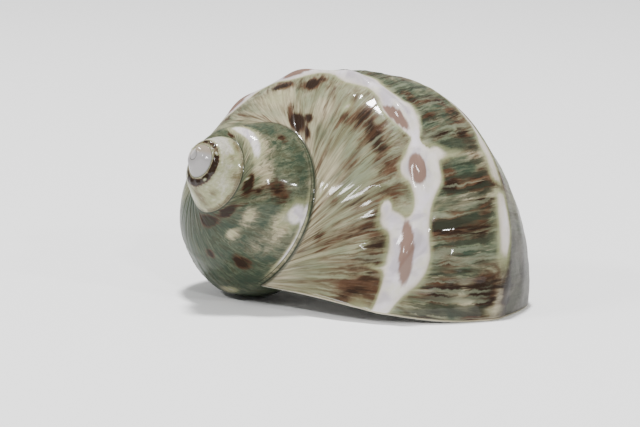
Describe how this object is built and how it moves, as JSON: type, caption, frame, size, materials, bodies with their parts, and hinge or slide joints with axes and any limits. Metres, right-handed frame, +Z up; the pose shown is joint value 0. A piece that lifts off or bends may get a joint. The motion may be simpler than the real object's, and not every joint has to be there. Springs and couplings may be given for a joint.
{
  "type": "turban shell",
  "caption": "Polished turban sea shell lying on its mouth, with a low coiled spire, a knobbed shoulder keel and an open, hollow last whorl.",
  "frame": {"origin": "on the ground under the middle of the shell's bounding box", "axes": "+Z up from the ground that the mouth lies on; +X from the apex towards the far side of the body whorl; +Y away from the side that the picture shows"},
  "size_m": [0.1104, 0.0908, 0.071],
  "materials": {
    "shell": "polished, very glossy; sage green, cream and dark brown streaks, white keels with mauve centres"
  },
  "bodies": {
    "root": {"turban_shell": "shell"}
  },
  "joints": []
}
